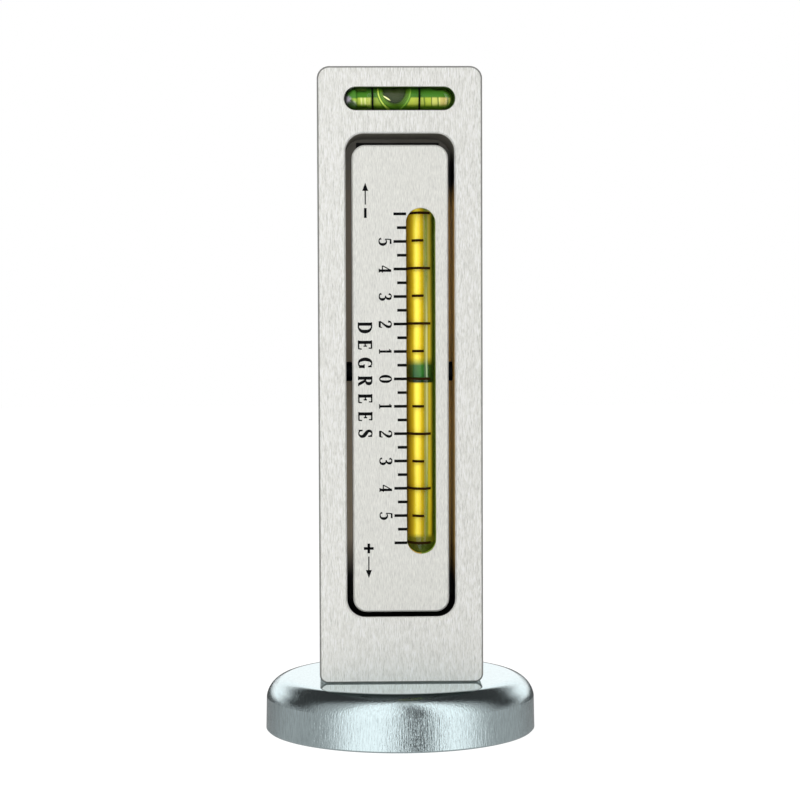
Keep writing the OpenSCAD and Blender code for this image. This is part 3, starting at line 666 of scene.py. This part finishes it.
def yellow_spirit(name, vial, pin, turned):
    """Coloured mineral spirit in a long vial, in the painted bands that light makes in it. The steel pin
    behind it shows as a painted dark green shadow there. turned is -1 where the vial is read from +Y, so that
    the bands run the other way."""
    material, add = new_material(name)
    coords = add("TexCoord", out="Object")
    where = add("SeparateXYZ", coords, out=None)
    height = where["Z"]
    warp = add("TexNoise", {
        "Vector": add("Mapping", coords, None, None, (60, 60, 130)), "Scale": 1.0, "Detail": 3.0})
    middle = float(vial.middle @ vial.side)
    across = add("MapRange", where["X"], middle - turned * vial.bore, middle + turned * vial.bore)
    waver = add("MapRange", warp, 0.3, 0.7, -0.012, 0.012)
    across = add("Math", across, waver, operation="ADD")
    middle_bands, bottom_bands, top_bands = [
        add("ValToRGB", across, stops=[
            (seen_through(share, vial), shade((colours[part:] or colours)[0], BAND_STRENGTH))
            for share, *colours in YELLOW_BANDS])
        for part in range(3)
    ]
    colour = add("MixRGB", add("MapRange", height, 101 * MM, 112 * MM), middle_bands, top_bands)
    colour = add("MixRGB", add("MapRange", height, 74 * MM, 60 * MM), colour, bottom_bands)

    # Painted shadow of the steel pin across the spirit, darker near the pin's lower edge
    low, high = pin
    at_pin = add("ValToRGB", add("MapRange", height, low - 0.2 * MM, high + 1.4 * MM), stops=[
        (0.0, 0.0), (0.05, 1.0), (0.68, 0.96), (0.8, 0.6), (1.0, 0.0)])
    shadow = add("ValToRGB", across, stops=[
        (seen_through(share, vial), hex_colour) for share, hex_colour in PIN_SHADOW])
    deep = add("MapRange", height, low + 1.1 * MM, low + 0.5 * MM, 0.0, 0.85)
    shadow = add("MixRGB", deep, shadow, "#081E0C")
    colour = add("MixRGB", at_pin, colour, shadow)

    plug_end = vial.middle[2] - vial.top + 3.0 * MM
    by_plug = add("MapRange", height, plug_end + 2.1 * MM, plug_end + 1.0 * MM)
    colour = dark_in_mirrors(add, where, add("MixRGB", by_plug, colour, "#6A6A18"))
    add("OutputMaterial", add("BsdfPrincipled", {"Base Color": colour, **SPIRIT_GLOSS}))
    return material


# The level vial's bubble, as it shows: an oval that hangs from the top of the vial
BUBBLE_X, BUBBLE_Z = -1.3 * MM, 157.4 * MM
BUBBLE_WIDE, BUBBLE_HIGH = 2.7 * MM, 2.95 * MM

# Stripes of light in the lower half of the level vial, as (x in mm, colour)
OLIVE, LEAF, DULL, DEEP, PALE, SAND, LINE = (
    "#9EAC37", "#90A53A", "#789030", "#4A6A18", "#CED28A", "#CECE6E", "#3E5A14")
LEVEL_STRIPES = [
    (-11.6, DULL), (-10.2, DULL), (-9.8, "#9EAF45"), (-9.5, "#9BAC41"), (-9.2, PALE), (-8.9, LEAF),
    (-8.4, PALE), (-8.1, "#97A93E"), (-7.2, "#BAC160"), (-6.9, DULL), (-4.6, LEAF), (-4.2, DEEP),
    (1.6, DEEP), (2.1, OLIVE), (4.0, "#A2AF3E"), (5.8, "#A5B345"), (6.1, LINE), (6.4, OLIVE), (7.5, OLIVE),
    (7.7, LINE), (8.0, "#BABA60"), (9.0, "#B3B659"), (9.3, "#3A5612"), (9.6, SAND), (9.9, "#B3A560"),
    (11.3, "#AFA25D"), (11.6, LINE), (12.0, SAND), (12.5, "#7C8A53"),
]


def oval(add, coords, centre, size, tilt=0.0):
    """Distance from the centre (x, z) of an oval of that half width and height, as a share of them. The
    oval leans by tilt."""
    shifted = add("VectorMath", coords, (centre[0], 0, centre[1]), operation="SUBTRACT")
    turned = add("Mapping", shifted, None, (0, -tilt, 0))
    scaled = add("VectorMath", turned, (1 / size[0], 0, 1 / size[1]), operation="MULTIPLY")
    return add("VectorMath", scaled, out="Value", operation="LENGTH")


def green_spirit(name, vial):
    """Coloured mineral spirit in the level vial: dark above, with stripes of the light that the rail sends up
    through it below, and a dark bubble with a painted bright rim on its left and a painted glint."""
    material, add = new_material(name)
    coords = add("TexCoord", out="Object")
    where = add("SeparateXYZ", coords, out=None)
    drift = add("TexNoise", {
        "Vector": add("Mapping", coords, None, None, (450, 450, 250)), "Scale": 1.0, "Detail": 2.0})
    drift = add("MapRange", drift, 0.3, 0.7, -0.18 * MM, 0.18 * MM)
    slanted = add("Math", where["X"], drift, operation="ADD")
    reach = 13.5
    stripes = add("ValToRGB", add("MapRange", slanted, -reach * MM, reach * MM), stops=[
        ((x + reach) / (2 * reach), hex_colour) for x, hex_colour in LEVEL_STRIPES])
    middle = float(vial.middle[2])
    upper = add("MapRange", where["Z"], middle + 0.02 * MM, middle + 0.35 * MM)
    lower = add("MapRange", where["Z"], middle - 1.2 * MM, middle - 1.75 * MM)
    colour = add("MixRGB", upper, stripes, "#3D6E21")
    colour = add("MixRGB", lower, colour, "#4A6A14")

    from_bubble = oval(add, coords, (BUBBLE_X, BUBBLE_Z), (BUBBLE_WIDE, BUBBLE_HIGH))
    outwards = add("MapRange", from_bubble, 0.0, 2.0)
    # Painted rings of light round the bubble, bright on its left side
    rings = add("ValToRGB", outwards, stops=[
        (0.0, "#2A3216"), (0.2, "#363E26"), (0.44, "#2C3620"), (0.49, "#1A280A"), (0.53, LINE),
        (0.62, "#56801F"), (0.68, "#3C6418"), (0.725, "#C8DC5C"), (0.77, "#3E641A"), (0.85, "#4A7018")])
    dull_rings = add("ValToRGB", outwards, stops=[
        (0.0, "#2A3216"), (0.2, "#363E26"), (0.47, "#2C3620"), (0.5, "#1A280A"), (0.56, LINE),
        (0.7, "#4A7420"), (0.735, "#7CA83C"), (0.77, "#44701E")])
    right_side = add("MapRange", where["X"], BUBBLE_X - 1.2 * MM, BUBBLE_X + 0.8 * MM)
    near = add("MapRange", from_bubble, 1.56, 1.66, 1.0, 0.0)
    colour = add("MixRGB", near, colour, add("MixRGB", right_side, rings, dull_rings))
    glint = oval(add, coords, (-3.1 * MM, 155.5 * MM), (1.05 * MM, 0.17 * MM), math.radians(30))
    colour = add("MixRGB", add("MapRange", glint, 0.7, 1.1, 1.0, 0.0), colour, "#E8ECA8")
    add("OutputMaterial", add("BsdfPrincipled", {"Base Color": colour, **SPIRIT_GLOSS}))
    return material


# ---- Operators

class GAUGE_OT_dress_metal(bpy.types.Operator):
    """Gives the frame's metal, rubber and magnet nodes their finishes."""

    bl_idname = "gauge.dress_metal"
    bl_label = "Dress the metal"

    def execute(self, context):
        sizes, colours = context.scene.gauge_sizes, context.scene.gauge_colours
        grain = (sizes.streak * MM, sizes.streak_length * MM)
        dress(brushed_aluminium("brushed_aluminium", colours.bar, grain, metallic=0.75, rough=0.42,
                                contrast=0.24, seed=1.0, walls=bar_walls), "frame")
        dress(brushed_aluminium("satin_aluminium", colours.block, grain, metallic=0.7, rough=0.45,
                                contrast=0.16, seed=2.0, walls=block_walls), "vial_block")
        # Scattered light passes the block, so that the narrow gap round it shows its walls' colours
        NODES["vial_block"].visible_diffuse = False
        dress(drawn_nickel("drawn_nickel_plate", colours.nickel), "magnet_cup")
        for name, colour, rough, *nodes in (
            ("black_oxide_steel", "#1B1B1C", 0.35, "pivot_pin", "foot_screw"),
            ("zinc_plated_steel", "#B9BCBE", 0.28, "centre_pole", "dowel_pin", "zero_screw"),
            ("turned_brass", "#D2AE62", 0.25, "zero_bush", "pressure_pad"),
            ("knurled_aluminium", "#D9DADB", 0.3, "zero_knob"),
            ("drawn_spring_wire", "#9B9DA0", 0.3, "lock_washer", "drag_spring", "return_spring"),
        ):
            dress(turned_metal(name, colour, rough), *nodes)
        dress(matt_solid("ground_ferrite", "#2B2B2D", 0.65), "ring_magnet")
        dress(matt_solid("moulded_rubber", "#24261F", 0.7), "vial_pad_top", "vial_pad_bottom")
        dress(level_plug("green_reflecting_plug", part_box("level_vial_plug")), "level_vial_plug")
        dress(matt_solid("cast_epoxy_plug", "#3A480C", 0.4, contrast=0.25, gloss=0.1),
              "camber_vial_plug", "caster_vial_plug")
        return {"FINISHED"}


class GAUGE_OT_blow_vials(bpy.types.Operator):
    """Blows the three clear tubes, and fills them."""

    bl_idname = "gauge.blow_vials"
    bl_label = "Blow the vials"

    def execute(self, context):
        acrylic = clear_acrylic("cast_acrylic")
        pin_low, pin_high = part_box("pivot_pin")
        for kind, vial in vials(context.scene.gauge_sizes).items():
            body = "gauge_body" if kind == "level" else "rocking_block"
            tube = blow_tube(kind + "_vial_glass", vial, 0.02 * MM, body)
            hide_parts(kind + "_vial_tube")
            dress(acrylic, tube)
            tube.visible_diffuse = tube.visible_shadow = tube.visible_glossy = False
            if kind == "level":
                liquid = green_spirit("green_spirit", vial)
            else:
                turned = -1 if kind == "caster" else 1
                liquid = yellow_spirit(kind + "_yellow_spirit", vial, (pin_low[2], pin_high[2]), turned)
            dress(liquid, kind + "_vial_liquid")
        return {"FINISHED"}


def scale_print(name, body, sizes, face_y, out, zero, degree, every, last, number_x, height, ticks, words):
    """The print of one scale, on a face that looks along out * Y. It has a number for every so many degrees
    to the last, ticks as (degrees, x0, x1), and words as (text, x, z, height, step, weight), in mm."""
    ink = sizes.ink * MM
    width = sizes.tick_width * MM * (1 if out < 0 else 0.8)
    parts = []
    for degrees, x0, x1 in ticks:
        parts += [tick(x0 * MM, x1 * MM, (zero + degree * d) * MM, width, ink, face_y, out) for d in degrees]
    for d in range(-last, last + 1, every):
        place = face_place(number_x * MM, (zero + degree * d + 0.3 * height) * MM, face_y, out)
        parts.append(glyph(str(abs(d)), height * MM, 1.5, ink, place))
    for text, x, z, size, step, weight in words:
        for k, letter in enumerate(text):
            place = face_place(x * MM, (z - step * k) * MM, face_y, out)
            parts.append(glyph(letter, size * MM, weight, ink, place))
    return make_piece(name, *joined(parts), body)


class GAUGE_OT_print_scales(bpy.types.Operator):
    """Prints the camber scale on the block's face and the caster scale on its back."""

    bl_idname = "gauge.print_scales"
    bl_label = "Print the scales"

    def execute(self, context):
        sizes = context.scene.gauge_sizes
        low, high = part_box("vial_block")
        whole = np.arange(-6, 7)
        camber = scale_print(
            "camber_scale", "rocking_block", sizes, low[1], -1, sizes.zero_z, sizes.degree, every=1, last=5,
            number_x=-5.2, height=3.1, ticks=[(whole, -1.6, 1.5), (whole[:-1] + 0.5, -0.75, 1.5)],
            words=[("DEGREES", -10.3, 101.4, 3.4, 4.35, 1.6),
                   ("-", -9.9, 129.0, 3.0, 1, 1.2), ("<", -9.9, 135.1, 3.0, 1, 1.2),
                   ("+", -9.4, 47.4, 3.0, 1, 1.2), (">", -9.4, 44.2, 3.0, 1, 1.2)])
        whole = np.arange(-8, 9)
        caster = scale_print(
            "caster_scale", "rocking_block", sizes, high[1], 1, sizes.caster_zero, sizes.caster_degree,
            every=2, last=8, number_x=-2.1, height=3.0,
            ticks=[(whole[::2], -1.6, 1.3), (whole[1::2], -0.75, 1.3)],
            words=[("DEGREES", -6.9, 103.0, 3.2, 4.35, 1.5)])
        dress(matt_solid("screen_ink", context.scene.gauge_colours.ink, 0.6, gloss=0.08), camber, caster)
        return {"FINISHED"}


# Reach of the marks round a long vial, in degrees from the side that bulges, and places of the level's rings
LONG_MARK, SHORT_MARK = (-78, 43), (-38, 12)
LEVEL_RINGS = (-6.55 * MM, 4.81 * MM)


class GAUGE_OT_mark_vials(bpy.types.Operator):
    """Prints the lines on the vials."""

    bl_idname = "gauge.mark_vials"
    bl_label = "Mark the vials"

    def execute(self, context):
        sizes = context.scene.gauge_sizes
        brown = matt_solid("brown_vial_ink", "#241400", 0.6, gloss=0.05)
        black = matt_solid("black_vial_ink", "#0C1008", 0.6, gloss=0.05)
        blown = vials(sizes)
        for kind, zero, degree, last, way in (
            ("camber", sizes.zero_z, sizes.degree, 6, 1),
            ("caster", sizes.caster_zero, sizes.caster_degree, 8, -1),
        ):
            marks = []
            for d in range(-last, last + 1):
                first, end = LONG_MARK if d % 2 == 0 else SHORT_MARK
                s = (zero + degree * d) * MM - float(blown[kind].middle[2])
                marks.append(vial_mark(blown[kind], s, way * first, way * end, sizes.mark_width * MM))
            dress(brown, make_piece(kind + "_vial_marks", *joined(marks), "rocking_block"))
        level = blown["level"]
        rings = [vial_mark(level, x - float(level.middle[0]), -180, 180, 0.5 * MM) for x in LEVEL_RINGS]
        dress(black, make_piece("level_vial_marks", *joined(rings), "gauge_body"))
        return {"FINISHED"}


def coil(name, axis_z, y0, y1, radius, wire, turns, closed_turns=0.9):
    """A compression spring along Y. Its middle line is (R cos t, y, R sin t), where y climbs by about half
    the wire's thickness in each closed end, and evenly between them."""
    t = np.linspace(0, 2 * np.pi * turns, int(turns * 36) + 1)
    start, end = 2 * np.pi * closed_turns, 2 * np.pi * (turns - closed_turns)
    first, last = y0 + wire / 2, y1 - wire / 2
    rise = wire * 0.55
    y = np.interp(t, [0, start, end, t[-1]], [first, first + rise, last - rise, last])
    # A running mean over so many points to each side rounds the bends between the three stretches
    reach = 7
    count = 2 * reach + 1
    y = np.convolve(np.pad(y, reach, mode="edge"), np.ones(count) / count, mode="valid")
    radial = np.stack([np.cos(t), 0 * t, np.sin(t)], 1)
    path = np.stack([radius * np.cos(t), y, axis_z + radius * np.sin(t)], 1)
    along = np.gradient(path, axis=0)
    along /= np.linalg.norm(along, axis=1, keepdims=True)
    up = np.cross(along, radial)
    return make_piece(name, *sweep(path, radial, up, round_section(wire / 2, 14)), None, smooth=True)


class GAUGE_OT_wind_springs(bpy.types.Operator):
    """Winds the two springs from round wire."""

    bl_idname = "gauge.wind_springs"
    bl_label = "Wind the springs"

    def execute(self, context):
        wire = context.scene.gauge_sizes.wire * MM
        steel = turned_metal("drawn_spring_steel", "#A4A6A9", 0.25, grain=0.2 * MM)
        for node, other, radius, turns in (
            ("return_spring", "rocking_block", 2.6, 6.5), ("drag_spring", "pad", 2.9, 4.5),
        ):
            low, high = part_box(node)
            axis_z = (low[2] + high[2]) / 2
            spring = coil(node + "_coil", axis_z, low[1], high[1], radius * MM, wire, turns)
            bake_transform(spring)
            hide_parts(node)
            dress(steel, spring)
        return {"FINISHED"}


class GAUGE_OT_cut_thread(bpy.types.Operator):
    """Cuts the zero screw's thread. The radius at (t, y) is a ridge over the phase y / pitch - t / (2 pi),
    with a flat crest and root. It runs out to a plain shank where the screw enters the pad."""

    bl_idname = "gauge.cut_thread"
    bl_label = "Cut the thread"

    def execute(self, context):
        pitch = context.scene.gauge_sizes.pitch * MM
        depth, shank, tip = 0.43 * MM, 1.45 * MM, 1.15 * MM
        chamfer, run_out = 0.3 * MM, 0.8 * MM
        low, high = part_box("zero_screw")
        axis_z = (low[2] + high[2]) / 2
        outer = (high[0] - low[0]) / 2
        shank_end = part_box("pressure_pad")[1][1]
        t = np.linspace(0, 2 * np.pi, 40, endpoint=False)
        y = np.concatenate([
            [low[1], low[1] + chamfer, shank_end - 1e-6], np.arange(shank_end, high[1], pitch / 12),
            [high[1]],
        ])
        phase = (y[:, None] / pitch - t[None, :] / (2 * np.pi)) % 1.0
        ridge = np.clip(1.6 * (1 - np.abs(2 * phase - 1)), 0.1, 1.0)
        threaded = outer - depth * (1 - ridge)
        radius = shank + (threaded - shank) * np.clip((y - shank_end) / run_out, 0, 1)[:, None]
        radius[y < shank_end] = shank
        radius[0] = tip
        points = np.stack([radius * np.cos(t), np.broadcast_to(y[:, None], radius.shape),
                           axis_z + radius * np.sin(t)], 2)
        faces = grid_faces(len(y), len(t), close_columns=True)
        faces += [list(range(len(t))), list(range((len(y) - 1) * len(t), len(y) * len(t)))]
        screw = make_piece("zero_screw_thread", points.reshape(-1, 3), faces, "thumb_screw")
        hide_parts("zero_screw")
        dress(turned_metal("rolled_steel_thread", "#B4B7B9", 0.28), screw)
        return {"FINISHED"}


# Brightness of the studio that shines in the metal. In front, by degrees round from -Y towards +X: two lit
# screens with a dark gap between them. Behind, by height from just below the horizon (0) to straight up (1):
# dim to the sides, and a lit screen straight behind, under a dark ceiling.
BRIGHT, DARK = 1.06, 0.06
STUDIO_FRONT = [
    (-180, 0.4), (-95, 0.3), (-62, 0.38), (-46, BRIGHT), (-2, BRIGHT), (5, DARK), (22, DARK), (28, BRIGHT),
    (56, BRIGHT), (72, 0.38), (110, 0.3), (180, 0.4),
]
STUDIO_ASIDE = [(0.08, 0.36), (0.22, 0.33), (0.36, 0.05), (1.0, 0.03)]
STUDIO_BEHIND = [
    (0.0, 0.36), (0.06, 0.1), (0.19, 0.08), (0.25, BRIGHT), (0.52, BRIGHT), (0.6, 0.04), (1.0, 0.03),
]


def seen_directly(add):
    """A light path's outputs, and 1 for rays that the camera sends out, also after they have passed glass."""
    ray = add("LightPath", out=None)
    return ray, add("Math", ray["Is Camera Ray"], ray["Is Transmission Ray"], operation="MAXIMUM")


def white_paper(name):
    """White paper of the floor: nearly burnt out to the camera, and dull to every other ray."""
    material, add = new_material(name)
    ray, seen = seen_directly(add)
    glow = add("Math", seen, 0.8, operation="MULTIPLY")
    dull = add("BsdfDiffuse", (0.9, 0.9, 0.9, 1))
    add("OutputMaterial", add("MixShader", glow, dull, add("Emission", "#FFFFFF", 1.12)))
    return material


class GAUGE_OT_set_stage(bpy.types.Operator):
    """Sets the floor, the studio's light and the camera of the photograph."""

    bl_idname = "gauge.set_stage"
    bl_label = "Set the stage"

    def execute(self, context):
        scene = context.scene
        mesh = bpy.data.meshes.new("floor")
        half = 1.6
        mesh.from_pydata(
            [(-half, -half, 0), (half, -half, 0), (half, half, 0), (-half, half, 0)], [], [(0, 1, 2, 3)])
        floor = bpy.data.objects.new("floor", mesh)
        floor.location.z = -0.05 * MM
        scene.collection.objects.link(floor)
        floor.visible_glossy = False
        dress(white_paper("white_paper_floor"), floor)
        self.light(scene)
        self.place_camera(scene)
        scene.view_settings.view_transform = "Standard"
        return {"FINISHED"}

    def light(self, scene):
        """A white surround for the camera and for light, and a studio with a dark ceiling for reflections."""
        world = bpy.data.worlds.new("soft_studio")
        scene.world = world
        world.use_nodes = True
        world.node_tree.nodes.clear()
        add = partial(add_node, world.node_tree)
        way = add("SeparateXYZ", add("TexCoord", out="Generated"), out=None)
        forwards = add("Math", way["Y"], -1.0, operation="MULTIPLY")
        turn = add("Math", way["X"], forwards, operation="ARCTAN2")
        front = add("ValToRGB", add("MapRange", turn, -math.pi, math.pi), stops=[
            (0.5 + degrees / 360, level) for degrees, level in STUDIO_FRONT], interpolation="EASE")
        height = add("MapRange", way["Z"], -0.2, 1.0)
        aside = add("ValToRGB", height, stops=STUDIO_ASIDE)
        straight = add("ValToRGB", height, stops=STUDIO_BEHIND)
        behind = add("MixRGB", add("MapRange", way["Y"], 0.45, 0.7), aside, straight)
        studio = add("MixRGB", add("MapRange", way["Y"], -0.1, 0.05), front, behind)
        ray, seen = seen_directly(add)
        unseen = add("MixShader", ray["Is Glossy Ray"], add("Background", "#FFFFFF", 0.75),
                     add("Background", studio, 1.0))
        surround = add("MixShader", seen, unseen, add("Background", "#FFFFFF", 1.0))
        add("OutputWorld", surround)
        for name, place, size, power in (
            ("soft_key", (-0.45, -0.6, 0.55), 0.6, 5.0), ("soft_fill", (0.55, -0.5, 0.3), 0.6, 2.5),
        ):
            lamp = bpy.data.lights.new(name, "AREA")
            lamp.size = size
            lamp.energy = power
            holder = bpy.data.objects.new(name, lamp)
            scene.collection.objects.link(holder)
            aim = Vector((0, 0, 0.08)) - Vector(place)
            turned = aim.to_track_quat("-Z", "Y").to_matrix().to_4x4()
            holder.matrix_world = Matrix.Translation(place) @ turned
            holder.visible_glossy = False

    def place_camera(self, scene):
        """The camera that a fit of the photograph's edges gave."""
        data = bpy.data.cameras.new("photo_camera")
        data.sensor_width = 36
        data.lens = 101.25
        data.clip_start, data.clip_end = 0.05, 20
        pitch, yaw, roll = [math.radians(a) for a in (2.703, -1.621, -0.204)]
        right = Vector((math.cos(yaw), math.sin(yaw), 0))
        ahead = Vector((-math.sin(yaw) * math.cos(pitch), math.cos(yaw) * math.cos(pitch), -math.sin(pitch)))
        up = right.cross(ahead)
        side = math.cos(roll) * right + math.sin(roll) * up
        top = -math.sin(roll) * right + math.cos(roll) * up
        camera = bpy.data.objects.new("photo_camera", data)
        scene.collection.objects.link(camera)
        turned = Matrix((side, top, -ahead)).transposed().to_4x4()
        camera.matrix_world = Matrix.Translation((-0.01562, -0.55876, 0.10823)) @ turned
        scene.camera = camera


class GAUGE_PT_panel(bpy.types.Panel):
    """Lists the gauge's sizes, colours and steps."""

    bl_label = "Camber caster gauge"
    bl_idname = "GAUGE_PT_panel"
    bl_space_type = "VIEW_3D"
    bl_region_type = "UI"
    bl_category = "Gauge"

    def draw(self, context):
        for group in (context.scene.gauge_sizes, context.scene.gauge_colours):
            for key in group.__annotations__:
                self.layout.prop(group, key)
        for step in STEPS:
            self.layout.operator(step.bl_idname)


STEPS = (
    GAUGE_OT_set_stage, GAUGE_OT_dress_metal, GAUGE_OT_blow_vials, GAUGE_OT_print_scales,
    GAUGE_OT_mark_vials, GAUGE_OT_wind_springs, GAUGE_OT_cut_thread,
)
CLASSES = (GaugeSizes, GaugeColours) + STEPS + (GAUGE_PT_panel,)


def register():
    for made in CLASSES:
        bpy.utils.register_class(made)
    bpy.types.Scene.gauge_sizes = PointerProperty(type=GaugeSizes)
    bpy.types.Scene.gauge_colours = PointerProperty(type=GaugeColours)


def unregister():
    del bpy.types.Scene.gauge_colours
    del bpy.types.Scene.gauge_sizes
    for made in reversed(CLASSES):
        bpy.utils.unregister_class(made)


def main():
    register()
    for step in STEPS:
        group, name = step.bl_idname.split(".")
        getattr(getattr(bpy.ops, group), name)()


if __name__ == "__main__":
    main()
